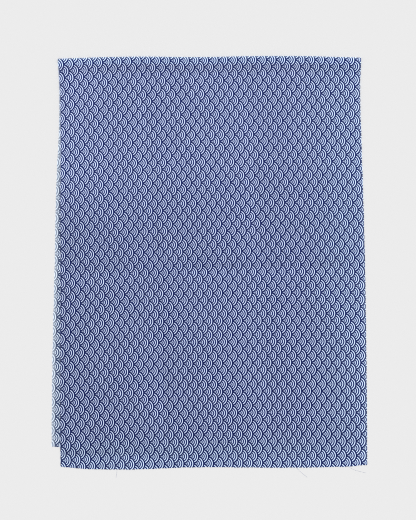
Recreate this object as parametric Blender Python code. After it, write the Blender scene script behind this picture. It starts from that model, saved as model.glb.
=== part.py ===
"""Tenugui towel: one cut length of thin dyed cotton, folded once across its middle and laid flat.

Metres, +Z up. The towel lies on z = 0 with its fold towards +Y and its raw cut ends towards -Y.
The halves are turned a little against each other, so a strip of the lower one shows along the left
edge, and it ends higher up than the upper one. The origin is the middle of the outline.
"""
from math import cos, pi, radians, sin

import bmesh
import bpy
import numpy as np

# The cloth before it is folded
CLOTH_WIDTH = 0.340
CLOTH_LENGTH = 0.900
FRONT_LENGTH = 0.4600
SHEET = 0.0010
LAYER_GAP = 0.0005

# Places on the cloth: across is 0 on the middle thread, along is 0 half-way up the front half
HALF_WIDTH = CLOTH_WIDTH / 2
ALONG_CUT = -0.2324
ALONG_UNIT = 0.2250

# How the front half lies: turned a little, its cross threads sagging at the sides, its sides bowed
FRONT_MIDDLE = (0.0048, 0.0022)
TURN = radians(0.67)
CROSS_SAG = 0.0024
CROSS_SWING = 0.0009
SIDE_BOW = 0.0015
BARREL = 0.0011

# How far each side edge strays from that even shape, along the front half
STRAY = (
    ("along", "left", "right"),
    (-0.231, 0.0006, 0.0007),
    (-0.190, 0.0003, 0.0004),
    (0.000, 0.0008, -0.0001),
    (0.090, 0.0010, -0.0003),
    (0.132, 0.0012, -0.0004),
    (0.148, 0.0012, -0.0002),
    (0.165, 0.0011, -0.0004),
    (0.180, 0.0010, 0.0001),
    (0.195, 0.0009, 0.0006),
    (0.210, 0.0000, 0.0017),
    (0.228, -0.0009, 0.0032),
)
STRAY_SHARPNESS = 6

# How much shorter than the straight cut each thread is at the front half's raw end, where the left
# side edge is drawn up; the lower half's raw end is drawn up by a share of that
TRIM = (
    ("across", "short"),
    (-0.170, 0.0065),
    (-0.150, 0.0035),
    (-0.137, 0.0022),
    (-0.117, 0.0009),
    (-0.090, 0.0000),
    (-0.036, 0.0006),
    (-0.003, 0.0007),
    (0.030, 0.0000),
    (0.130, 0.0002),
    (0.150, 0.0009),
    (0.170, 0.0027),
)
LOWER_TRIM_SHARE = 0.66

# Where the cloth turns over: the furthest reach of the fold
FOLD = (
    ("across", "y"),
    (-0.170, 0.2272),
    (-0.115, 0.2291),
    (-0.080, 0.2297),
    (-0.015, 0.2291),
    (0.050, 0.2302),
    (0.110, 0.2302),
    (0.170, 0.2285),
)

# Where the left edge of the lower half lies, by distance from the fold, and how much narrower than
# the cloth that half is drawn there
LOWER_EDGE = (
    ("from_fold", "x", "narrower"),
    (0.000, -0.1692, 0.0000),
    (0.018, -0.1682, 0.0007),
    (0.040, -0.1670, 0.0029),
    (0.060, -0.1671, 0.0035),
    (0.080, -0.1672, 0.0024),
    (0.105, -0.1682, 0.0004),
    (0.132, -0.1693, 0.0000),
    (0.226, -0.1708, 0.0000),
    (0.330, -0.1722, 0.0000),
    (0.437, -0.1725, 0.0000),
)

# Old folding marks, thirds along the cloth and halves across it, with soft swells between them
LENGTH_MARKS = (
    ("x", "lean"),
    (-0.0583, -0.067),
    (0.0579, -0.055),
)
CROSS_MARK_Y = -0.0115
CROSS_MARK_LEAN = 0.020
SWELL_SPAN_X = (-0.172, 0.174)
SWELL_SPAN_Y = (-0.205, 0.228)
SWELL = 0.0010
CROSS_DIP = 0.0005
CROSS_DIP_REACH = 0.016
END_REACH = 0.030

# Where the upper half hangs past the lower one it comes down to the surface
DROP_START = 0.0010
DROP_END = 0.0090

# Mesh fineness: stretches of the front half by where each ends, counted from the raw end, and the
# rows of faces in it
FRONT_SPANS = (
    ("end", "steps"),
    (0.030, 5),
    (0.190, 11),
    (0.250, 6),
    (FRONT_LENGTH, 15),
)
LOWER_STEPS = 12
FOLD_STEPS = 6
MIDDLE_COLUMNS = 25
EDGE_COLUMN = 0.006

FOLD_RADIUS = (SHEET + LAYER_GAP) / 2
FOLD_REACH = FOLD_RADIUS + SHEET / 2
LOWER_Z = SHEET / 2
UPPER_Z = LOWER_Z + SHEET + LAYER_GAP


def column(table, name):
    """One column of a short table, by the name in its first row."""
    number = table[0].index(name)
    return np.array([row[number] for row in table[1:]])


def follow(table, at, name):
    """A table's named column, read at any place between the rows of its first column."""
    return np.interp(at, column(table, table[0][0]), column(table, name))


def smooth_step(value, start, end):
    """0 before start, 1 after end, and an S-shaped rise between."""
    part = np.clip((value - start) / (end - start), 0.0, 1.0)
    return part * part * (3 - 2 * part)


def front_plan(across, along):
    """Where a point of the front half lies, seen from above."""
    side = across / HALF_WIDTH
    rise = along / ALONG_UNIT
    x = FRONT_MIDDLE[0] + across * cos(TURN) - along * sin(TURN)
    x -= SIDE_BOW * rise**2 + BARREL * side * rise**2
    left, right = follow(STRAY, along, "left"), follow(STRAY, along, "right")
    edge = np.where(side < 0, left, right)
    x += edge * np.abs(side) ** STRAY_SHARPNESS
    y = FRONT_MIDDLE[1] + along * cos(TURN) + row_rise(across)
    return x, y


def row_rise(across):
    """How far each point of one cross thread of the front half lies above its middle."""
    side = across / HALF_WIDTH
    return across * sin(TURN) - CROSS_SAG * side**2 + CROSS_SWING * side**3


def fold_along(across):
    """How far up the front half each lengthwise thread turns over."""
    return (follow(FOLD, across, "y") - FRONT_MIDDLE[1] - row_rise(across)) / cos(TURN)


def lower_length(across):
    """The length of each thread of the lower half, from the fold to its raw end."""
    straight = CLOTH_LENGTH - (fold_along(across) - ALONG_CUT)
    return straight - LOWER_TRIM_SHARE * follow(TRIM, across, "short")


def lower_plan(across, from_fold):
    """Where a point of the lower half lies, seen from above."""
    drawn_in = 1 - follow(LOWER_EDGE, from_fold, "narrower") / CLOTH_WIDTH
    x = follow(LOWER_EDGE, from_fold, "x") + (across + HALF_WIDTH) * drawn_in
    return x, follow(FOLD, across, "y") - FOLD_REACH - from_fold


def past_lower(x, y):
    """How far a point lies outside the lower half, below its raw end or right of its edge."""
    across = np.clip(x, -HALF_WIDTH, HALF_WIDTH)
    fold_y = follow(FOLD, across, "y")
    end_y = fold_y - FOLD_REACH - lower_length(across)
    width = CLOTH_WIDTH - follow(LOWER_EDGE, fold_y - y, "narrower")
    edge_x = follow(LOWER_EDGE, fold_y - y, "x") + width
    return np.maximum(end_y - y, x - edge_x)


def arch(value, start, end):
    """0 at start and end and outside them, 1 half-way between."""
    return np.sin(pi * np.clip((value - start) / (end - start), 0.0, 1.0))


def swell(x, y):
    """Soft panels between the old folding marks, lowest along each mark and at the edges."""
    marks = zip(column(LENGTH_MARKS, "x"), column(LENGTH_MARKS, "lean"))
    marks = [place + lean * y for place, lean in marks]
    marks = [SWELL_SPAN_X[0]] + marks + [SWELL_SPAN_X[1]]
    thirds = [arch(x, left, right) for left, right in zip(marks[:-1], marks[1:])]
    third = np.clip(np.max(thirds, axis=0), 0.0, 1.0)
    low_y, high_y = SWELL_SPAN_Y
    cross_y = CROSS_MARK_Y + CROSS_MARK_LEAN * x
    half = np.maximum(arch(y, low_y, cross_y), arch(y, cross_y, high_y))
    beside_mark = np.clip(np.abs(y - cross_y) / CROSS_DIP_REACH, 0.0, 1.0)
    from_ends = smooth_step(np.minimum(y - low_y, high_y - y), 0.0, END_REACH)
    return SWELL * half * third + CROSS_DIP * beside_mark * from_ends * np.sqrt(third)


def front_stations():
    """Fractions of the front half's length at which rows of points lie."""
    stations = [0.0]
    for end, steps in FRONT_SPANS[1:]:
        start = stations[-1]
        stations += [start + (end - start) * step / steps for step in range(1, steps + 1)]
    return np.array(stations) / FRONT_LENGTH


def rows_of_points():
    """Every cross row of the cloth, from the front's raw end over the fold to the lower one's.

    Each row is the middle surface's points and the direction in which the printed side faces.
    """
    inner = np.linspace(EDGE_COLUMN - HALF_WIDTH, HALF_WIDTH - EDGE_COLUMN, MIDDLE_COLUMNS)
    across = np.concatenate(([-HALF_WIDTH], inner, [HALF_WIDTH]))
    cut = ALONG_CUT + follow(TRIM, across, "short")
    turn_over = fold_along(across) - FOLD_REACH
    fold_y = follow(FOLD, across, "y")
    rows = []
    for station in front_stations():
        x, y = front_plan(across, cut + (turn_over - cut) * station)
        dropped = smooth_step(past_lower(x, y), DROP_START, DROP_END)
        z = LOWER_Z + (UPPER_Z - LOWER_Z + swell(x, y)) * (1 - dropped)
        rows.append((np.stack([x, y, z], axis=1), (0.0, 0.0, 1.0)))
    fold_x = rows[-1][0][:, 0]
    lower_x, _ = lower_plan(across, np.zeros_like(across))
    for step in range(1, FOLD_STEPS + 1):
        part = step / FOLD_STEPS
        out, up = sin(pi * part), cos(pi * part)
        x = fold_x + (lower_x - fold_x) * part
        y = fold_y - FOLD_REACH + FOLD_RADIUS * out
        z = np.full_like(x, (LOWER_Z + UPPER_Z) / 2 + FOLD_RADIUS * up)
        rows.append((np.stack([x, y, z], axis=1), (0.0, out, up)))
    for step in range(1, LOWER_STEPS + 1):
        x, y = lower_plan(across, lower_length(across) * step / LOWER_STEPS)
        rows.append((np.stack([x, y, np.full_like(x, LOWER_Z)], axis=1), (0.0, 0.0, -1.0)))
    return rows


def build_towel():
    """One closed sheet: the printed side, the reverse side, and a rim along all four edges."""
    rows = rows_of_points()
    surfaces = []
    for sign in (1, -1):
        surfaces.append([points + sign * SHEET / 2 * np.array(facing) for points, facing in rows])
    everything = np.concatenate([row for surface in surfaces for row in surface])
    middle = (everything.min(axis=0) + everything.max(axis=0)) / 2
    middle[2] = everything[:, 2].min()
    mesh = bmesh.new()
    sides = [
        [[mesh.verts.new(point - middle) for point in row] for row in surface]
        for surface in surfaces
    ]
    last_row = len(rows) - 1
    last_column = len(rows[0][0]) - 1
    for grid in sides:
        for i in range(last_row):
            for j in range(last_column):
                corners = (grid[i][j], grid[i][j + 1], grid[i + 1][j + 1], grid[i + 1][j])
                mesh.faces.new(corners)
    printed, reverse = sides
    for j in (0, last_column):
        for i in range(last_row):
            mesh.faces.new((printed[i][j], printed[i + 1][j], reverse[i + 1][j], reverse[i][j]))
    for i in (0, last_row):
        for j in range(last_column):
            mesh.faces.new((printed[i][j], printed[i][j + 1], reverse[i][j + 1], reverse[i][j]))
    bmesh.ops.recalc_face_normals(mesh, faces=mesh.faces)
    towel_mesh = bpy.data.meshes.new("towel")
    mesh.to_mesh(towel_mesh)
    mesh.free()
    towel_mesh.shade_smooth()
    towel_mesh.set_sharp_from_angle(angle=radians(40))
    towel = bpy.data.objects.new("towel", towel_mesh)
    bpy.context.scene.collection.objects.link(towel)
    return towel


def dyed_cotton():
    """Matte cotton, indigo and white, as one mean colour."""
    material = bpy.data.materials.new("dyed_cotton")
    material.use_nodes = True
    shader = material.node_tree.nodes["Principled BSDF"]
    shader.inputs["Base Color"].default_value = (0.160, 0.198, 0.366, 1.0)
    shader.inputs["Roughness"].default_value = 0.85
    shader.inputs["Metallic"].default_value = 0.0
    return material


for old in list(bpy.data.objects):
    bpy.data.objects.remove(old)

folded_towel = build_towel()
folded_towel.data.materials.append(dyed_cotton())
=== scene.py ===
from math import cos, hypot, pi, radians, sin

import bpy
import numpy as np
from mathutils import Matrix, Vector


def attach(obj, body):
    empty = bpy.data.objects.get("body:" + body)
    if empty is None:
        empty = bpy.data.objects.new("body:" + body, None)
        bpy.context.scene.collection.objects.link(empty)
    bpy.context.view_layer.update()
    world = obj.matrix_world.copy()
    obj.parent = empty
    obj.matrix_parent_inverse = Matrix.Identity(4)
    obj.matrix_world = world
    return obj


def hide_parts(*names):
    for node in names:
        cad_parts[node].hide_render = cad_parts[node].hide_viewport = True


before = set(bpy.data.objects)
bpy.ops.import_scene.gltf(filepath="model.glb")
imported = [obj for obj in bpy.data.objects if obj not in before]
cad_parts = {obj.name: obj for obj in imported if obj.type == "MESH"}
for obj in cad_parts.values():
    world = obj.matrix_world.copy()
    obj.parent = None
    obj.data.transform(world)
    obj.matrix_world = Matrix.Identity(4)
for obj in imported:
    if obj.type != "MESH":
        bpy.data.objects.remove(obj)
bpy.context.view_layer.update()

# The towel
# One cut length of thin plain-weave cotton, 340 mm between its two selvedges and 900 mm between its
# raw ends, dyed right through with overlapping waves. It is folded once across its middle, with the
# deeper dyed face outward, and lies flat. Metres and radians, in the frame's own axes.
CLOTH_WIDTH = 0.340
CLOTH_LENGTH = 0.900
CLOTH_THICKNESS = 0.00045
HALF_WIDTH = CLOTH_WIDTH / 2

# Places on the cloth: across is 0 on the middle thread, along is 0 half-way up the front half
ALONG_CUT = -0.2324
ALONG_UNIT = 0.2250

# How the front half lies: turned a little, its cross threads sagging at the sides, its sides bowed
FRONT_MIDDLE = (0.0048, 0.0022)
TURN = radians(0.67)
CROSS_SAG = 0.0024
CROSS_SWING = 0.0009
SIDE_BOW = 0.0015
BARREL = 0.0011

# How far each side edge strays from that even shape
STRAY = (
    ("along", "left", "right"),
    (-0.231, 0.0006, 0.0007),
    (-0.190, 0.0003, 0.0004),
    (0.000, 0.0008, -0.0001),
    (0.090, 0.0010, -0.0003),
    (0.132, 0.0012, -0.0004),
    (0.148, 0.0012, -0.0002),
    (0.165, 0.0011, -0.0004),
    (0.180, 0.0010, 0.0001),
    (0.195, 0.0009, 0.0006),
    (0.210, 0.0000, 0.0017),
    (0.228, -0.0009, 0.0032),
)
STRAY_SHARPNESS = 6


def column(table, name):
    """One column of a short table, by the name in its first row."""
    number = table[0].index(name)
    return np.array([row[number] for row in table[1:]])


def follow(table, at, name):
    """A smooth curve through a table's named column, read between the rows of its first column."""
    known, value = column(table, table[0][0]), column(table, name)
    steepness = np.gradient(value, known)
    at = np.clip(at, known[0], known[-1])
    left = np.clip(np.searchsorted(known, at, side="right") - 1, 0, len(known) - 2)
    span = known[left + 1] - known[left]
    part = (at - known[left]) / span
    rest = 1 - part
    ends = value[left] * rest**2 * (1 + 2 * part) + value[left + 1] * part**2 * (3 - 2 * part)
    return ends + span * part * rest * (steepness[left] * rest - steepness[left + 1] * part)


def row_rise(across):
    """How far each point of one cross thread of the front half lies above its middle."""
    side = across / HALF_WIDTH
    return across * sin(TURN) - CROSS_SAG * side**2 + CROSS_SWING * side**3


def front_plan(across, along):
    """Where a point of the front half lies, seen from above."""
    side = across / HALF_WIDTH
    rise = along / ALONG_UNIT
    x = FRONT_MIDDLE[0] + across * cos(TURN) - along * sin(TURN)
    x -= SIDE_BOW * rise**2 + BARREL * side * rise**2
    edge = np.where(side < 0, follow(STRAY, along, "left"), follow(STRAY, along, "right"))
    x += edge * np.abs(side) ** STRAY_SHARPNESS
    return x, FRONT_MIDDLE[1] + along * cos(TURN) + row_rise(across)


# Where the cloth turns over: the furthest reach of the fold
FOLD = (
    ("across", "y"),
    (-0.170, 0.2272),
    (-0.115, 0.2291),
    (-0.080, 0.2297),
    (-0.015, 0.2291),
    (0.050, 0.2302),
    (0.110, 0.2302),
    (0.170, 0.2285),
)

# Heights: the lower half lies on the surface, and the upper one on it. The fold stands up a little
LOWER_Z = 0.00024
UPPER_Z = LOWER_Z + CLOTH_THICKNESS + 0.00010
FOLD_RISE = 0.00090
FOLD_RISE_REACH = 0.012
FOLD_RADIUS = (UPPER_Z + FOLD_RISE - LOWER_Z) / 2
FOLD_REACH = FOLD_RADIUS + CLOTH_THICKNESS / 2
ROUND_FOLD = pi * FOLD_RADIUS


def fold_along(across):
    """How far up the front half each lengthwise thread turns over."""
    return (follow(FOLD, across, "y") - FRONT_MIDDLE[1] - row_rise(across)) / cos(TURN)


# How much shorter than a straight cut each thread is at the front's raw end. At the lower half's
# it is a share of that
TRIM = (
    ("across", "short"),
    (-0.170, 0.0065),
    (-0.150, 0.0035),
    (-0.137, 0.0022),
    (-0.117, 0.0009),
    (-0.090, 0.0000),
    (-0.036, 0.0006),
    (-0.003, 0.0007),
    (0.030, 0.0000),
    (0.130, 0.0002),
    (0.150, 0.0009),
    (0.170, 0.0027),
)
LOWER_TRIM_SHARE = 0.66

# Where the left edge of the lower half lies, by distance from the fold, and how much narrower than
# the cloth that half is drawn there
LOWER_EDGE = (
    ("from_fold", "x", "narrower"),
    (0.000, -0.1692, 0.0000),
    (0.018, -0.1682, 0.0007),
    (0.040, -0.1670, 0.0029),
    (0.060, -0.1671, 0.0035),
    (0.080, -0.1672, 0.0024),
    (0.105, -0.1682, 0.0004),
    (0.132, -0.1693, 0.0000),
    (0.226, -0.1708, 0.0000),
    (0.330, -0.1722, 0.0000),
    (0.437, -0.1725, 0.0000),
)


def lower_length(across):
    """The length of each thread of the lower half, from the fold to its raw end."""
    straight = CLOTH_LENGTH - (fold_along(across) - ALONG_CUT)
    return straight - LOWER_TRIM_SHARE * follow(TRIM, across, "short")


def lower_plan(across, from_fold):
    """Where a point of the lower half lies, seen from above."""
    drawn_in = 1 - follow(LOWER_EDGE, from_fold, "narrower") / CLOTH_WIDTH
    x = follow(LOWER_EDGE, from_fold, "x") + (across + HALF_WIDTH) * drawn_in
    return x, follow(FOLD, across, "y") - FOLD_REACH - from_fold


def past_lower(x, y):
    """How far a point lies outside the lower half, below its raw end or right of its edge."""
    across = np.clip(x, -HALF_WIDTH, HALF_WIDTH)
    fold_y = follow(FOLD, across, "y")
    end_y = fold_y - FOLD_REACH - lower_length(across)
    width = CLOTH_WIDTH - follow(LOWER_EDGE, fold_y - y, "narrower")
    edge_x = follow(LOWER_EDGE, fold_y - y, "x") + width
    return np.maximum(end_y - y, x - edge_x)


# Old folding marks, thirds along the cloth and halves across it, with soft swells between
LENGTH_MARKS = (
    ("x", "lean"),
    (-0.0583, -0.067),
    (0.0579, -0.055),
)
CROSS_MARK_Y = -0.0115
CROSS_MARK_LEAN = 0.020
SWELL_SPAN_X = (-0.172, 0.174)
SWELL_SPAN_Y = (-0.205, 0.228)
SWELL = 0.0013
CROSS_DIP = 0.0007
CROSS_DIP_REACH = 0.016
END_REACH = 0.030


def smooth_step(value, start, end):
    """0 before start, 1 after end, and an S-shaped rise between."""
    part = np.clip((value - start) / (end - start), 0.0, 1.0)
    return part * part * (3 - 2 * part)


def arch(value, start, end):
    """0 at start and end and outside them, 1 half-way between."""
    return np.sin(pi * np.clip((value - start) / (end - start), 0.0, 1.0))


def swell(x, y):
    """Soft panels between the old folding marks, lowest along each mark and at the edges."""
    marks = zip(column(LENGTH_MARKS, "x"), column(LENGTH_MARKS, "lean"))
    marks = [SWELL_SPAN_X[0], *(place + lean * y for place, lean in marks), SWELL_SPAN_X[1]]
    thirds = [arch(x, left, right) for left, right in zip(marks[:-1], marks[1:])]
    third = np.clip(np.max(thirds, axis=0), 0.0, 1.0)
    low_y, high_y = SWELL_SPAN_Y
    cross_y = CROSS_MARK_Y + CROSS_MARK_LEAN * x
    half = np.maximum(arch(y, low_y, cross_y), arch(y, cross_y, high_y))
    beside_mark = np.clip(np.abs(y - cross_y) / CROSS_DIP_REACH, 0.0, 1.0)
    from_ends = smooth_step(np.minimum(y - low_y, high_y - y), 0.0, END_REACH)
    return SWELL * half * third + CROSS_DIP * beside_mark * from_ends * np.sqrt(third)


# Short creases pressed in beside the marks: start x, start y, end x, end y, depth, half width
CREASES = (
    (-0.022, -0.0110, 0.066, -0.0090, 0.00062, 0.0060),
    (0.066, -0.0090, 0.150, -0.0060, 0.00044, 0.0055),
    (-0.150, -0.0190, -0.118, -0.0150, 0.00040, 0.0065),
    (-0.138, 0.0060, -0.100, 0.0020, 0.00026, 0.0065),
    (-0.061, 0.0420, -0.060, -0.0040, 0.00032, 0.0050),
    (-0.050, -0.1200, -0.047, -0.2060, 0.00050, 0.0045),
    (0.057, 0.0740, 0.057, 0.0120, 0.00030, 0.0050),
    (0.066, -0.1140, 0.068, -0.2060, 0.00046, 0.0045),
    (0.018, 0.1500, 0.018, 0.1050, 0.00018, 0.0060),
    (-0.095, -0.1650, -0.092, -0.2060, 0.00024, 0.0070),
)
CREASE_FADE = (-0.012, 0.010)
CREASE_SHARPNESS = 1.4


def creased(x, y):
    """Depth of the short creases: each a soft valley that fades out at its two ends."""
    depth = np.zeros_like(x)
    for start_x, start_y, end_x, end_y, deep, half_width in CREASES:
        run_x, run_y = end_x - start_x, end_y - start_y
        length = hypot(run_x, run_y)
        down = ((x - start_x) * run_x + (y - start_y) * run_y) / length
        beside = ((x - start_x) * run_y - (y - start_y) * run_x) / length
        fade = smooth_step(down, *CREASE_FADE) * smooth_step(length - down, *CREASE_FADE)
        depth += deep * fade * np.exp(-np.abs(beside / half_width) ** CREASE_SHARPNESS)
    return depth


# Slight waviness of the cloth as it settles, in soft ridges that run along it
RIPPLE_HEIGHT = 0.00013
RIPPLE_LENGTHS = (0.014, 0.046)
RIPPLE_COUNT = 22
RIPPLE_STRETCH = 7.0
RIPPLE_SEED = 11


def ripples(x, y):
    """Low uneven ridges, mostly lengthwise, about 1 at their highest."""
    draw = np.random.default_rng(RIPPLE_SEED)
    total = np.zeros_like(x)
    for _ in range(RIPPLE_COUNT):
        length = draw.uniform(*RIPPLE_LENGTHS)
        lean = draw.normal(0.0, 1 / RIPPLE_STRETCH)
        phase, beat = draw.uniform(0, 2 * pi, 2)
        swelling = 0.5 + 0.5 * np.sin(2 * pi * y / (RIPPLE_STRETCH * length) + beat)
        total += swelling * np.sin(2 * pi * (x + lean * y) / length + phase)
    return total / np.sqrt(RIPPLE_COUNT)


# Air between the halves, and how the front half comes down where it hangs past the lower one
AIR = 0.00055
AIR_EDGE = 0.010
DROP_START = 0.0005
DROP_END = 0.0085
GROUND_REACH = 0.010


def front_height(across, x, y, from_cut, to_fold):
    """How high each point of the front half lies: on the lower half, or on the surface past it."""
    dropped = smooth_step(past_lower(x, y), DROP_START, DROP_END)
    settled = smooth_step(to_fold, 0.0, FOLD_RISE_REACH)
    free = settled * smooth_step(HALF_WIDTH - np.abs(across), 0.0, AIR_EDGE)
    uneven = ripples(x, y)
    rise = UPPER_Z - LOWER_Z + FOLD_RISE * (1 - settled)
    rise += swell(x, y) + free * (AIR + RIPPLE_HEIGHT * uneven - creased(x, y))
    ground = RIPPLE_HEIGHT * 0.5 * (1 + uneven) * smooth_step(from_cut, 0.0, GROUND_REACH)
    return LOWER_Z + np.maximum(rise, UPPER_Z - LOWER_Z) * (1 - dropped) + ground * dropped


# The small unevenness of the cut and woven edges, and how far short of a raw end the last cross
# thread lies
EDGE_WANDER = 0.00016
WANDER_LENGTHS = (0.004, 0.007, 0.013, 0.024, 0.041)
WANDER_PEAK = 2.2
SIDE_WANDER_SHARPNESS = 12
FRONT_CUT_SEED, FRONT_SIDE_SEED, LOWER_CUT_SEED, LOWER_SIDE_SEED = 3, 5, 7, 9
FRAYED = 0.0008


def wander(at, seed):
    """How far an edge strays from an even line along its length."""
    draw = np.random.default_rng(seed)
    total = np.zeros_like(at)
    for length in WANDER_LENGTHS:
        total += np.sin(2 * pi * at / length + draw.uniform(0, 2 * pi)) / WANDER_PEAK
    return EDGE_WANDER * total


def side_wander(across, at, seed):
    """The same at the two sides of the cloth, fading out inward."""
    return wander(at, seed) * np.abs(across / HALF_WIDTH) ** SIDE_WANDER_SHARPNESS


# The waves lie on the threads almost evenly: how much of the cloth ALONG_UNIT of the print takes on
# the front half, from which thread on, and how its rows widen a little to the raw end
PRINT_UNIT = 0.22471
PRINT_START = 0.00005
PRINT_GROWTH = (0.00584, -0.00334)

# On the lower half they lie a little further apart, and drift aside below the fold
LOWER_PRINT_SHARE = 0.986
LOWER_PRINT_DRIFT = 0.0024
LOWER_DRIFT_REACH = 0.120

# How far each row of waves strays aside from an even one, and its two ends further apart
ROW_SWAY = (
    ("along", "aside", "apart"),
    (-0.232, 0.00025, 0.00000),
    (-0.202, 0.00000, -0.00018),
    (-0.133, -0.00053, 0.00058),
    (-0.053, 0.00022, 0.00000),
    (0.027, 0.00002, 0.00035),
    (0.107, -0.00039, -0.00040),
    (0.187, 0.00017, 0.00000),
    (0.228, 0.00000, 0.00000),
)

# How far down each column of waves strays
COLUMN_SWAY = (
    ("across", "down"),
    (-0.170, 0.00010),
    (-0.136, 0.00008),
    (-0.073, -0.00017),
    (-0.006, 0.00042),
    (0.061, 0.00008),
    (0.131, 0.00017),
    (0.170, 0.00017),
)


def print_along(along):
    """How far up the print a point of the front half lies."""
    share = (along - PRINT_START) / PRINT_UNIT
    return ALONG_UNIT * (share + PRINT_GROWTH[0] * share**2 + PRINT_GROWTH[1] * share**3)


def fold_begins(across):
    """Where the fold begins on each lengthwise thread: the place along it and up the print."""
    along = fold_along(across) - FOLD_REACH
    return along, print_along(along) + follow(COLUMN_SWAY, across, "down")


# Mesh fineness: columns across the cloth, and rows on each half and round the fold
COLUMNS = 142
FRONT_ROWS = 192
FOLD_ROWS = 10
LOWER_ROWS = 60


def front_rows(across):
    """The front half, from its raw end up to where the fold begins."""
    cut = ALONG_CUT + FRAYED + follow(TRIM, across, "short") + wander(across, FRONT_CUT_SEED)
    fold_start, _ = fold_begins(across)
    down = follow(COLUMN_SWAY, across, "down")
    rows = []
    for share in np.linspace(0.0, 1.0, FRONT_ROWS):
        along = cut + (fold_start - cut) * share
        to_fold = fold_start - along
        x, y = front_plan(across, along)
        x = x + side_wander(across, along, FRONT_SIDE_SEED)
        z = front_height(across, x, y, along - cut, to_fold)
        apart = follow(ROW_SWAY, along, "apart") * across / HALF_WIDTH
        print_x = across - follow(ROW_SWAY, along, "aside") - apart
        rows.append((x, y, z, across, along, print_x, print_along(along) + down, to_fold))
    return rows


def fold_rows(across, start_x):
    """Half a turn round the fold, from the front half down to the lower one."""
    fold_start, fold_print = fold_begins(across)
    end_x, _ = lower_plan(across, np.zeros_like(across))
    rows = []
    for step in range(1, FOLD_ROWS + 1):
        part = step / FOLD_ROWS
        x = start_x + (end_x - start_x) * part
        y = follow(FOLD, across, "y") - FOLD_REACH + FOLD_RADIUS * sin(pi * part)
        z = np.full_like(x, LOWER_Z + FOLD_RADIUS * (1 + cos(pi * part)))
        past = np.full_like(x, ROUND_FOLD * part)
        rows.append((x, y, z, across, fold_start + past, across, fold_print + past, -past))
    return rows


def lower_rows(across):
    """The lower half, flat on the surface, from the fold to its raw end."""
    fold_start, fold_print = fold_begins(across)
    length = lower_length(across) - FRAYED + wander(across, LOWER_CUT_SEED)
    rows = []
    for step in range(1, LOWER_ROWS + 1):
        from_fold = length * step / LOWER_ROWS
        x, y = lower_plan(across, from_fold)
        x = x + side_wander(across, from_fold, LOWER_SIDE_SEED)
        z = np.full_like(x, LOWER_Z)
        past = ROUND_FOLD + from_fold
        print_x = across + LOWER_PRINT_DRIFT * smooth_step(from_fold, 0.0, LOWER_DRIFT_REACH)
        print_y = fold_print + ROUND_FOLD + LOWER_PRINT_SHARE * from_fold
        rows.append((x, y, z, across, fold_start + past, print_x, print_y, -past))
    return rows


# The middle of the folded outline, which the frame has at its origin
OUTLINE_MIDDLE = (0.00160, -0.00093)


def cloth_rows():
    """The middle surface from the front's raw end over the fold to the lower one's, row by row.

    Gives its points, each point's place among the threads, its place on the print, and how far it
    lies from the fold: more than 0 on the front half, less on the lower one.
    """
    across = np.linspace(-HALF_WIDTH, HALF_WIDTH, COLUMNS)
    front = front_rows(across)
    rows = np.array([*front, *fold_rows(across, front[-1][0]), *lower_rows(across)])
    x, y, z, thread_x, thread_y, print_x, print_y, to_fold = np.moveaxis(rows, 1, 0)
    points = np.stack([x - OUTLINE_MIDDLE[0], y - OUTLINE_MIDDLE[1], z], axis=2)
    threads = np.stack([thread_x, thread_y], axis=2)
    return points, threads, np.stack([print_x, print_y], axis=2), to_fold


DYED_FACE, REVERSE_FACE = 0, 1
EDGE_ANGLE = radians(50)

# A copy of the towel may carry its colours in one square picture. Its parts lie there so that those
# in sight get most of it: first row, last row, left, bottom, width, height, share of the columns at
# the left edge, which is wide for the strip of the reverse in sight. Then the four edges: left,
# bottom, width, height, step
TURNED_ROW = FRONT_ROWS + FOLD_ROWS - 1
LAST_ROW = TURNED_ROW + LOWER_ROWS
LEFT_COLUMNS = 7
EVEN_SHARE = LEFT_COLUMNS / (COLUMNS - 1)
STRIP_SHARE = 0.19
DYED_PLACES = (
    (0, TURNED_ROW, 0.005, 0.005, 0.646, 0.920, EVEN_SHARE),
    (TURNED_ROW, LAST_ROW, 0.665, 0.605, 0.325, 0.390, EVEN_SHARE),
)
REVERSE_PLACES = (
    (0, TURNED_ROW, 0.840, 0.005, 0.150, 0.230, EVEN_SHARE),
    (TURNED_ROW, LAST_ROW, 0.665, 0.005, 0.165, 0.590, STRIP_SHARE),
)
EDGE_PLACES = (0.005, 0.935, 0.646, 0.006, 0.012)


def side_on_picture(places):
    """Where the four corners of every face of one side lie on the picture, row by row."""
    found = []
    for first, last, left, bottom, width, height, left_share in places:
        known = (0, LEFT_COLUMNS, COLUMNS - 1)
        u = left + width * np.interp(np.arange(COLUMNS), known, (0.0, left_share, 1.0))
        v = bottom + height * np.linspace(0.0, 1.0, last - first + 1)
        spot = np.stack(np.meshgrid(u, v), axis=2)
        around = [spot[:-1, :-1], spot[:-1, 1:], spot[1:, 1:], spot[1:, :-1]]
        found.append(np.stack(around, axis=2).reshape(-1, 4, 2))
    return np.concatenate(found)


def edge_on_picture(number, count):
    """Where the faces of one edge lie on the picture, as a thin row of its own."""
    left, bottom, width, height, step = EDGE_PLACES
    u = left + width * np.linspace(0.0, 1.0, count + 1)
    low = np.full(count, bottom + number * step)
    around = [(u[:-1], low), (u[:-1], low + height), (u[1:], low + height), (u[1:], low)]
    return np.stack([np.stack(corner, axis=1) for corner in around], axis=1)


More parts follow.
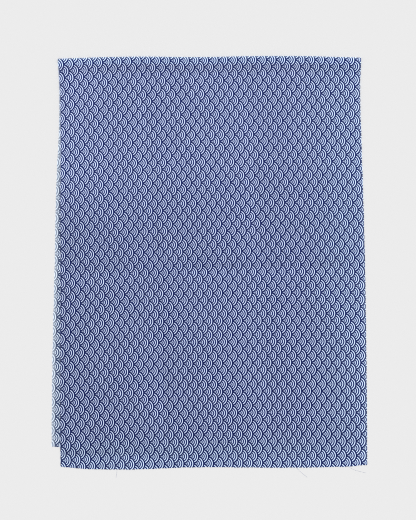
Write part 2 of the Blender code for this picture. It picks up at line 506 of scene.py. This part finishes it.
def build_cloth():
    """One closed thin sheet: the dyed face, its reverse, and the cut and woven edges."""
    middle, threads, prints, folds = cloth_rows()
    rows, columns = middle.shape[:2]
    normal = np.cross(np.gradient(middle, axis=1), np.gradient(middle, axis=0))
    normal /= np.linalg.norm(normal, axis=2, keepdims=True)
    half = CLOTH_THICKNESS / 2 * normal
    points = np.concatenate([(middle + half).reshape(-1, 3), (middle - half).reshape(-1, 3)])
    number = np.arange(rows * columns).reshape(rows, columns)
    under = rows * columns
    a, b, c, d = number[:-1, :-1], number[:-1, 1:], number[1:, 1:], number[1:, :-1]
    dyed = np.stack([a, b, c, d], axis=2).reshape(-1, 4)
    reverse = np.stack([a, d, c, b], axis=2).reshape(-1, 4) + under
    edges = []
    picture = [side_on_picture(DYED_PLACES), side_on_picture(REVERSE_PLACES)[:, [0, 3, 2, 1]]]
    for line in (number[0], number[:, -1], number[-1, ::-1], number[::-1, 0]):
        start, end = line[:-1], line[1:]
        picture.append(edge_on_picture(len(edges), len(start)))
        edges.append(np.stack([start, start + under, end + under, end], axis=1))
    faces = np.concatenate([dyed, reverse, *edges])
    mesh = bpy.data.meshes.new("towel_cloth")
    mesh.from_pydata(points.tolist(), [], faces.tolist())
    side = np.full(len(faces), DYED_FACE)
    side[len(dyed):len(dyed) + len(reverse)] = REVERSE_FACE
    mesh.polygons.foreach_set("material_index", side)
    corner = np.empty(len(mesh.loops), dtype=np.int64)
    mesh.loops.foreach_get("vertex_index", corner)
    for name, flat in (("threads", threads), ("print", prints)):
        flat = np.concatenate([flat.reshape(-1, 2)] * 2)
        mesh.uv_layers.new(name=name).data.foreach_set("uv", flat[corner].ravel())
    picture = np.concatenate(picture).ravel()
    mesh.uv_layers.new(name="OFBake").data.foreach_set("uv", picture)
    to_fold = mesh.attributes.new("to_fold", "FLOAT", "POINT")
    to_fold.data.foreach_set("value", np.concatenate([folds.ravel()] * 2))
    mesh.shade_smooth()
    mesh.set_sharp_from_angle(angle=EDGE_ANGLE)
    mesh.validate()
    cloth = bpy.data.objects.new("towel_cloth", mesh)
    bpy.context.scene.collection.objects.link(cloth)
    return cloth


towel_cloth = build_cloth()


# Dyed cotton
# Indigo taken up right through the threads, the waves left white. Plain weave of single yarns,
# about 20 to the centimetre, a little uneven, with soft dye edges. The reverse is paler.
class Number:
    """A number that varies over a surface: one socket of its material, with Python's arithmetic."""

    def __init__(self, surface, socket):
        self.surface = surface
        self.socket = socket

    def math(self, operation, *others):
        values = dict(enumerate((self, *others)))
        return self.surface.node("Math", {"operation": operation}, values)

    def __add__(self, other):
        return self.math("ADD", other)

    def __sub__(self, other):
        return self.math("SUBTRACT", other)

    def __rsub__(self, other):
        return self.surface.node("Math", {"operation": "SUBTRACT"}, {0: other, 1: self})

    def __mul__(self, other):
        return self.math("MULTIPLY", other)

    def __truediv__(self, other):
        return self.math("DIVIDE", other)

    __radd__ = __add__
    __rmul__ = __mul__

    def __abs__(self):
        return self.math("ABSOLUTE")

    def __lt__(self, other):
        return self.math("LESS_THAN", other)

    def ramp(self, start, end, low=0.0, high=1.0):
        """low before start, high after end, and an S-shaped change between."""
        values = {"Value": self, "From Min": start, "From Max": end, "To Min": low, "To Max": high}
        return self.surface.node("MapRange", {"interpolation_type": "SMOOTHSTEP"}, values)


class Surface:
    """A material, and the one way to add a node to it."""

    def __init__(self, name):
        self.material = bpy.data.materials.new(name)
        self.material.use_nodes = True
        self.tree = self.material.node_tree
        self.shader = self.tree.nodes["Principled BSDF"]

    def node(self, kind, settings, values, output=0):
        made = self.tree.nodes.new("ShaderNode" + kind)
        for name, value in settings.items():
            setattr(made, name, value)
        self.fill(made, values)
        return Number(self, made.outputs[output])

    def fill(self, made, values):
        """Sets or links the named sockets of a node."""
        for name, value in values.items():
            if isinstance(value, Number):
                self.tree.links.new(value.socket, made.inputs[name])
            else:
                made.inputs[name].default_value = value

    def place(self, name):
        """The two numbers of a place on the cloth, from one of its maps."""
        split = self.node("SeparateXYZ", {}, {"Vector": self.node("UVMap", {"uv_map": name}, {})})
        return split, Number(self, split.socket.node.outputs["Y"])

    def noise(self, x, y, detail=2.0):
        """Smooth noise from 0 to 1, its places given by two numbers."""
        place = self.node("CombineXYZ", {}, {"X": x, "Y": y})
        return self.node("TexNoise", {}, {"Vector": place, "Scale": 1.0, "Detail": detail})

    def blend(self, share, colour, other):
        """From colour to other as share goes from 0 to 1."""
        sockets = {"Factor": share, 6: colour, 7: other}
        return self.node("Mix", {"data_type": "RGBA"}, sockets, output=2)


# The waves: overlapping scales in staggered columns, their arcs facing the right selvedge. Each arc
# left white has a radius, a width and a strength, and the middle spot a radius and a strength
WAVE_PITCH = 0.01548
WAVE_COLUMN = 0.005452
WAVE_PHASE = (0.00300, 0.00026)
WAVE_EDGE = 0.00866
WAVE_NARROWING = 0.939
WHITE_ARCS = (
    (0.00670, 0.00074, 1.00),
    (0.00446, 0.00070, 1.00),
    (0.00238, 0.00074, 0.79),
)
WHITE_SPOT = (0.00114, 0.41)


def distance_in_wave(surface, x, y):
    """Distance from the centre of the wave in sight: the left columns lie over the right."""
    own = (x / WAVE_COLUMN).math("FLOOR")
    distances = []
    for step in (-1, 0, 1):
        centre = own + step
        beside = (x - centre * WAVE_COLUMN) * WAVE_NARROWING
        above = y - centre.math("FLOORED_MODULO", 2.0) * (WAVE_PITCH / 2)
        above = above - (above / WAVE_PITCH).math("ROUND") * WAVE_PITCH
        distances.append((beside * beside + above * above).math("SQRT"))
    first, second, third = distances
    over = first < WAVE_EDGE
    between = second < WAVE_EDGE
    return over * first + (1 - over) * (between * second + (1 - between) * third)


def whiteness(distance, bleed):
    """1 where the cloth is left white, 0 on the indigo ground; bleed is how soft the edges are."""
    spot, spot_strength = WHITE_SPOT
    white = distance.ramp(spot - bleed, spot + bleed, spot_strength, 0.0)
    for radius, width, strength in WHITE_ARCS:
        off = abs(distance - radius)
        arc = off.ramp(width / 2 - bleed, width / 2 + bleed, strength, 0.0)
        white = white.math("MAXIMUM", arc)
    return white


# The weave: how far apart the yarns lie, and how their thick and thin places vary along them
THREAD_PITCH = (0.00050, 0.00054)
SLUB_BESIDE = 0.9
SLUB_ALONG = 34
YARN_MEAN = 0.64


def weave(surface, across, along):
    """How high the yarns stand, 1 at most, and where they are thicker: about 0 on the whole."""
    warp_thread = across / THREAD_PITCH[0]
    weft_thread = along / THREAD_PITCH[1]
    warp_wave = (warp_thread * pi).math("SINE")
    weft_wave = (weft_thread * pi).math("SINE")
    warp_over = warp_wave * weft_wave * 0.5 + 0.5
    yarn = abs(warp_wave) * warp_over + abs(weft_wave) * (1 - warp_over)
    warp_slub = surface.noise(warp_thread * SLUB_BESIDE, along * SLUB_ALONG) - 0.5
    weft_slub = surface.noise(across * SLUB_ALONG + 5.0, weft_thread * SLUB_BESIDE) - 0.5
    return yarn, warp_slub + weft_slub


# Bands of the cloth: each says where a change starts and ends, and the value before and after it.
# The margin lies along the right side, the front's raw end and the fold. There and in the upper part
# the dye edges are softer
MARGIN_RIGHT = (0.090, 0.150, 0.0, 1.0)
MARGIN_RAW_END = (-0.2150, -0.1900, 1.0, 0.0)
MARGIN_FOLD = (0.0060, 0.0085, 1.0, 0.0)
SOFTER_PRINT = (0.000, 0.150, 0.20, 1.0)
SOFTENING = 1.2

# Less dye along the right selvedge, and painted sheen that whitens the cloth where it turns over at
# the
# fold: width and whiteness. The left selvedge changes from its first whiteness to its second over a
# stretch along the cloth
RIGHT_SELVEDGE = (0.0034, 0.06)
FOLD_SHEEN_PAINTED = (0.0017, 0.11)
LEFT_SELVEDGE_CHANGE = (0.05, 0.12)


def selvedge_dye_loss_and_fold_sheen(across, along, to_fold, left_selvedge):
    """How much of the dye is missing at the selvedges, and how much painted sheen whitens the fold.
    """
    left_width, low_white, high_white = left_selvedge
    right_width, right_white = RIGHT_SELVEDGE
    left = across.ramp(-HALF_WIDTH, left_width - HALF_WIDTH, 1.0, 0.0)
    left = left * along.ramp(*LEFT_SELVEDGE_CHANGE, low_white, high_white)
    right = across.ramp(HALF_WIDTH - right_width, HALF_WIDTH, 0.0, right_white)
    # Painted sheen along the fold, where the cloth turns over
    sheen_at_fold = abs(to_fold).ramp(0.0, *FOLD_SHEEN_PAINTED, 0.0)
    return left.math("MAXIMUM", right).math("MAXIMUM", sheen_at_fold)


# Painted light and shade: bands where the cloth is drawn broadly lighter or darker than its mean,
# lighter high on the front half, at the right side and at the upper left edge, darker low on the
# left
UPPER_LIGHT = (0.02, 0.12, -0.045, 0.050)
RIGHT_LIGHT = (0.105, 0.170, 0.0, 0.08)
LOW_RIGHT_LIGHT = (-0.17, 0.13, -0.01, 0.05)
LOW_PART = (0.02, 0.10, 1.0, 0.0)
UPPER_LEFT_LIGHT = (-0.170, -0.100, 0.10, 0.0)
UPPER_PART = (0.03, 0.10, 0.0, 1.0)
# Painted light on the front's last stretch, where it lies single past the lower half's raw end and
# the pale surface shows through
SINGLE_LAYER_LIGHT = (-0.2170, -0.2120, 0.12, 0.0)
# Painted highlight over the fold's round top
FOLD_HIGHLIGHT = (0.0060, 0.0085, 0.13, 0.0)
# Painted shade on the front half just below the fold, where it slopes down from it
BELOW_FOLD = (0.0060, 0.0085, 0.0, 1.0)
BELOW_FOLD_SHADE = (0.0160, 0.0190, 0.10, 0.0)


def painted_light_and_shade(across, along, to_fold):
    """How much lighter the dyed cloth is drawn than its mean: painted light and shade."""
    # Painted light and shade: lighter high up and at the right, darker low on the left
    light = along.ramp(*UPPER_LIGHT) + across.ramp(*RIGHT_LIGHT)
    light = light + across.ramp(*LOW_RIGHT_LIGHT) * along.ramp(*LOW_PART)
    light = light + across.ramp(*UPPER_LEFT_LIGHT) * along.ramp(*UPPER_PART)
    # Painted light at the front's raw end, where one layer lies on the pale surface, and a painted
    # highlight along the fold
    light = light + along.ramp(*SINGLE_LAYER_LIGHT) + abs(to_fold).ramp(*FOLD_HIGHLIGHT)
    # Painted shade on the front just below the fold
    return light - to_fold.ramp(*BELOW_FOLD) * to_fold.ramp(*BELOW_FOLD_SHADE)


# How the dye took: the ground is palest beside the arcs, and patchy from yarn to yarn
DYE_REACH = 0.00080
BESIDE_ARC_PALER = 1.30
PATCHY = (-0.20, 0.12, 0.15, 0.24)
PATCH_SCALE = 1100
PRINT_WOBBLE = 0.0005
WOBBLE_SCALES = (260, 230)
WHITE_TAKEN = 0.93
SLUB_IN_WHITE = 0.30
SLUB_IN_GROUND = 0.06
CLOUD_SCALES = (34, 7)
# Lightness from cloudy dye and thick yarn, and painted shade in the gaps between the yarns
CLOUD_LIGHT, SLUB_LIGHT, YARN_GAP_SHADE = 0.07, 0.22, 0.16
MARGIN_TINT = (0.985, 1.045, 1.0, 1.0)
NO_TINT = (1.0, 1.0, 1.0, 1.0)


def dyed_cotton(name, indigo, white, bleed, undyed, left_selvedge):
    """Plain-weave cotton with the waves; undyed is how much of the ground took no dye."""
    surface = Surface(name)
    across, along = surface.place("threads")
    to_fold = surface.node("Attribute", {"attribute_name": "to_fold"}, {}, output="Fac")
    yarn, slub = weave(surface, across, along)

    margin = across.ramp(*MARGIN_RIGHT).math("MAXIMUM", along.ramp(*MARGIN_RAW_END))
    margin = margin.math("MAXIMUM", abs(to_fold).ramp(*MARGIN_FOLD))
    softer = margin.math("MAXIMUM", along.ramp(*SOFTER_PRINT))
    x, y = surface.place("print")
    fine, coarse = WOBBLE_SCALES
    x = x + WAVE_PHASE[0] + (surface.noise(x * fine, y * fine) - 0.5) * PRINT_WOBBLE
    y = y + WAVE_PHASE[1] + (surface.noise(x * coarse + 9.0, y * coarse) - 0.5) * PRINT_WOBBLE
    distance = distance_in_wave(surface, x, y)
    share = whiteness(distance, bleed * (1 + softer * SOFTENING))
    share = share * (WHITE_TAKEN + slub * SLUB_IN_WHITE)
    share = share + slub.math("MAXIMUM", 0.0) * SLUB_IN_GROUND
    # Dye missing at the selvedges, and painted sheen whitening the fold
    share = share + (1 - share) * selvedge_dye_loss_and_fold_sheen(across, along, to_fold, left_selvedge)

    patches = surface.noise(across * PATCH_SCALE, along * PATCH_SCALE + 7.0, 1.0).ramp(0.25, 0.75)
    paler = patches * along.ramp(*PATCHY) + whiteness(distance, DYE_REACH) * BESIDE_ARC_PALER
    dye = surface.blend(paler, *indigo)
    colour = surface.blend(share * (1 - undyed) + undyed, dye, white)
    tint = surface.blend(margin, NO_TINT, MARGIN_TINT)
    colour = surface.node("VectorMath", {"operation": "MULTIPLY"}, {0: colour, 1: tint})
    cloud = surface.noise(across * CLOUD_SCALES[0], along * CLOUD_SCALES[1] + 3.0, 3.0) - 0.5
    # Lighter and darker with cloud and slub, and with painted shade in the gaps between the yarns
    light = 1 + cloud * CLOUD_LIGHT + slub * SLUB_LIGHT + (yarn - YARN_MEAN) * YARN_GAP_SHADE
    # Painted light and shade over the cloth
    light = light + painted_light_and_shade(across, along, to_fold)
    colour = surface.node("VectorMath", {"operation": "SCALE"}, {0: colour, "Scale": light})
    relief = {"Strength": 0.35, "Distance": 0.0001, "Height": yarn * (1 + slub * 0.5)}
    surface.fill(surface.shader, {
        "Base Color": colour,
        "Roughness": 0.86 + share * 0.06,
        "Normal": surface.node("Bump", {}, relief),
        "Specular IOR Level": 0.12,
    })
    return surface.material


# Each side: its deep and its pale indigo, its white, how softly the dye ends, how much of the ground
# took none, and the left selvedge's width and whiteness low and high on the cloth
cotton_face = dyed_cotton(
    "cotton_face",
    indigo=((0.0014, 0.0046, 0.050, 1.0), (0.0420, 0.0825, 0.410, 1.0)),
    white=(0.75, 0.855, 1.00, 1.0),
    bleed=0.00014,
    undyed=0.0,
    left_selvedge=(0.0018, 0.05, 0.30),
)
cotton_reverse = dyed_cotton(
    "cotton_reverse",
    indigo=((0.002, 0.010, 0.054, 1.0), (0.060, 0.122, 0.320, 1.0)),
    white=(0.78, 0.875, 0.95, 1.0),
    bleed=0.00018,
    undyed=0.01,
    left_selvedge=(0.0055, 0.34, 0.34),
)
towel_cloth.data.materials.append(cotton_face)
towel_cloth.data.materials.append(cotton_reverse)
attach(towel_cloth, "root")
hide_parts("towel")

# Thread ends
# The two raw ends are cut and not hemmed, so the lengthwise threads stand out past the last cross
# thread by a fraction of a millimetre, uneven. Three have worked loose and lie on the surface.
END_SPACING = 0.0006
END_INSET = 0.0004
END_LENGTH = (0.0001, 0.0010)
END_SHORTNESS = 2.2
END_BEND = 0.22
END_DROOP = 0.15
END_ROOT = 0.0006
END_SEED = 21
YARN_WIDTH = 0.00016
YARN_TIP = 0.5

# The loose threads, each by places along it
LOOSE_THREADS = (
    (
        ("share", "x", "y"),
        (0.0, -0.1001, -0.2300),
        (0.4, -0.1003, -0.2342),
        (0.7, -0.1009, -0.2375),
        (1.0, -0.1013, -0.2408),
    ),
    (
        ("share", "x", "y"),
        (0.0, 0.0966, -0.2285),
        (0.3, 0.1000, -0.2322),
        (0.7, 0.1047, -0.2364),
        (1.0, 0.1092, -0.2399),
    ),
    (
        ("share", "x", "y"),
        (0.0, 0.1560, -0.2292),
        (0.3, 0.1610, -0.2319),
        (0.6, 0.1668, -0.2334),
        (1.0, 0.1738, -0.2351),
    ),
)
LOOSE_STEPS = 14


def add_yarn(route, points, faces):
    """Adds a three-sided yarn along a route, thinner at its tip. Gives how many points it has."""
    route = [Vector(place) for place in route]
    start = len(points)
    last = len(route) - 1
    for number, place in enumerate(route):
        ahead = (route[min(number + 1, last)] - route[max(number - 1, 0)]).normalized()
        beside = ahead.cross(Vector((0, 0, 1))).normalized()
        radius = YARN_WIDTH / 2 * (YARN_TIP if number == last else 1.0)
        for turn in range(3):
            angle = pi / 2 + turn * 2 * pi / 3
            points.append(place + radius * (cos(angle) * beside + sin(angle) * Vector((0, 0, 1))))
    for step in range(last):
        for turn in range(3):
            a, b = start + 3 * step + turn, start + 3 * step + (turn + 1) % 3
            faces.append((a, b, b + 3, a + 3))
    tip = start + 3 * last
    faces.append((start, start + 2, start + 1))
    faces.append((tip, tip + 1, tip + 2))
    return len(points) - start


def short_end(place, outward, draw):
    """The route of one short thread end, from inside the cloth out past its edge."""
    length = END_LENGTH[0] + (END_LENGTH[1] - END_LENGTH[0]) * draw.random() ** END_SHORTNESS
    bend = draw.normal(0.0, END_BEND)
    place = place + np.array([0.0, 0.0, draw.uniform(-0.5, 0.5) * CLOTH_THICKNESS / 2])
    tip = place + outward * length + np.array([bend * length, 0.0, -END_DROOP * length])
    tip[2] = max(tip[2], YARN_WIDTH / 2)
    return [place - outward * END_ROOT, place + outward * length * 0.5, tip]


def build_thread_ends():
    """All the short ends of both raw edges, and the three loose threads, as one mesh."""
    middle, threads, prints, to_fold = cloth_rows()
    draw = np.random.default_rng(END_SEED)
    points, faces, marks = [], [], []
    for edge, inner in ((0, 1), (-1, -2)):
        outward = middle[edge] - middle[inner]
        outward /= np.linalg.norm(outward, axis=1, keepdims=True)
        known = np.column_stack([middle[edge], threads[edge], prints[edge]])
        on_edge = threads[edge][:, 0]
        for across in np.arange(END_INSET - HALF_WIDTH, HALF_WIDTH - END_INSET, END_SPACING):
            here = np.array([np.interp(across, on_edge, part) for part in known.T])
            nearest = int(np.argmin(np.abs(on_edge - across)))
            count = add_yarn(short_end(here[:3], outward[nearest], draw), points, faces)
            marks += [(*here[3:], to_fold[edge].mean())] * count
    share = np.linspace(0.0, 1.0, LOOSE_STEPS)
    for places in LOOSE_THREADS:
        x = follow(places, share, "x") - OUTLINE_MIDDLE[0]
        y = follow(places, share, "y") - OUTLINE_MIDDLE[1]
        route = np.stack([x, y, np.full_like(x, YARN_WIDTH / 2)], axis=1)
        count = add_yarn(route, points, faces)
        marks += [(0.0, 0.0, 0.0, 0.0, to_fold[0].mean())] * count
    marks = np.array(marks)
    mesh = bpy.data.meshes.new("thread_ends")
    mesh.from_pydata([tuple(point) for point in points], [], faces)
    corner = np.empty(len(mesh.loops), dtype=np.int64)
    mesh.loops.foreach_get("vertex_index", corner)
    for name, flat in (("threads", marks[:, :2]), ("print", marks[:, 2:4])):
        mesh.uv_layers.new(name=name).data.foreach_set("uv", flat[corner].ravel())
    mesh.attributes.new("to_fold", "FLOAT", "POINT").data.foreach_set("value", marks[:, 4].copy())
    mesh.shade_smooth()
    ends = bpy.data.objects.new("thread_ends", mesh)
    bpy.context.scene.collection.objects.link(ends)
    return ends


thread_ends = build_thread_ends()
thread_ends.data.materials.append(cotton_face)
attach(thread_ends, "root")

# The surface
# A plain pale table or floor, matte and even, larger than any view of the towel.
FLOOR_SIZE = 80.0
FLOOR_COLOUR = (0.76, 0.76, 0.76, 1.0)
floor_mesh = bpy.data.meshes.new("floor")
reach = FLOOR_SIZE / 2
corners = [(-reach, -reach, 0), (reach, -reach, 0), (reach, reach, 0), (-reach, reach, 0)]
floor_mesh.from_pydata(corners, [], [(0, 1, 2, 3)])
floor = bpy.data.objects.new("floor", floor_mesh)
bpy.context.scene.collection.objects.link(floor)
floor_finish = Surface("floor")
floor_finish.fill(floor_finish.shader, {
    "Base Color": FLOOR_COLOUR,
    "Roughness": 1.0,
    "Specular IOR Level": 0.0,
})
floor_mesh.materials.append(floor_finish.material)

# Light and camera
# A bright white room, and a broad soft light from beyond the fold, a little to the right. The
# camera looks down from above, leaning 4 degrees towards the raw ends.
ROOM_LIGHT = 0.58
SOFT_LIGHT_SHARE = 0.524
SOFT_LIGHT_TILT = radians(54)
SOFT_LIGHT_TURN = radians(-38)
SOFT_LIGHT_SPREAD = radians(60)
room = bpy.data.worlds.new("room")
room.use_nodes = True
room.node_tree.nodes["Background"].inputs["Color"].default_value = (1.0, 1.0, 1.0, 1.0)
room.node_tree.nodes["Background"].inputs["Strength"].default_value = ROOM_LIGHT
bpy.context.scene.world = room
soft_light = bpy.data.lights.new("soft_light", "SUN")
soft_light.energy = SOFT_LIGHT_SHARE * pi / cos(SOFT_LIGHT_TILT)
soft_light.angle = SOFT_LIGHT_SPREAD
soft_light.use_shadow = False
lamp = bpy.data.objects.new("soft_light", soft_light)
lamp.rotation_euler = (-SOFT_LIGHT_TILT, 0.0, SOFT_LIGHT_TURN)
bpy.context.scene.collection.objects.link(lamp)

CAMERA_DISTANCE = 1.500
CAMERA_LEAN = radians(4.3)
CAMERA_LENS = 93.2
SENSOR = 36.0
camera_data = bpy.data.cameras.new("camera")
camera_data.lens = CAMERA_LENS
camera_data.sensor_width = SENSOR
camera = bpy.data.objects.new("camera", camera_data)
camera.location = (
    -OUTLINE_MIDDLE[0],
    -OUTLINE_MIDDLE[1] - CAMERA_DISTANCE * sin(CAMERA_LEAN),
    CAMERA_DISTANCE * cos(CAMERA_LEAN),
)
camera.rotation_euler = (CAMERA_LEAN, 0.0, 0.0)
bpy.context.scene.collection.objects.link(camera)
bpy.context.scene.camera = camera
bpy.context.scene.view_settings.view_transform = "Standard"

# Thread-fine waves stay sharp: no smoothing of noise, and a narrow pixel
PIXEL_WIDTH = 1.0
bpy.context.scene.cycles.use_denoising = False
bpy.context.scene.cycles.filter_width = PIXEL_WIDTH
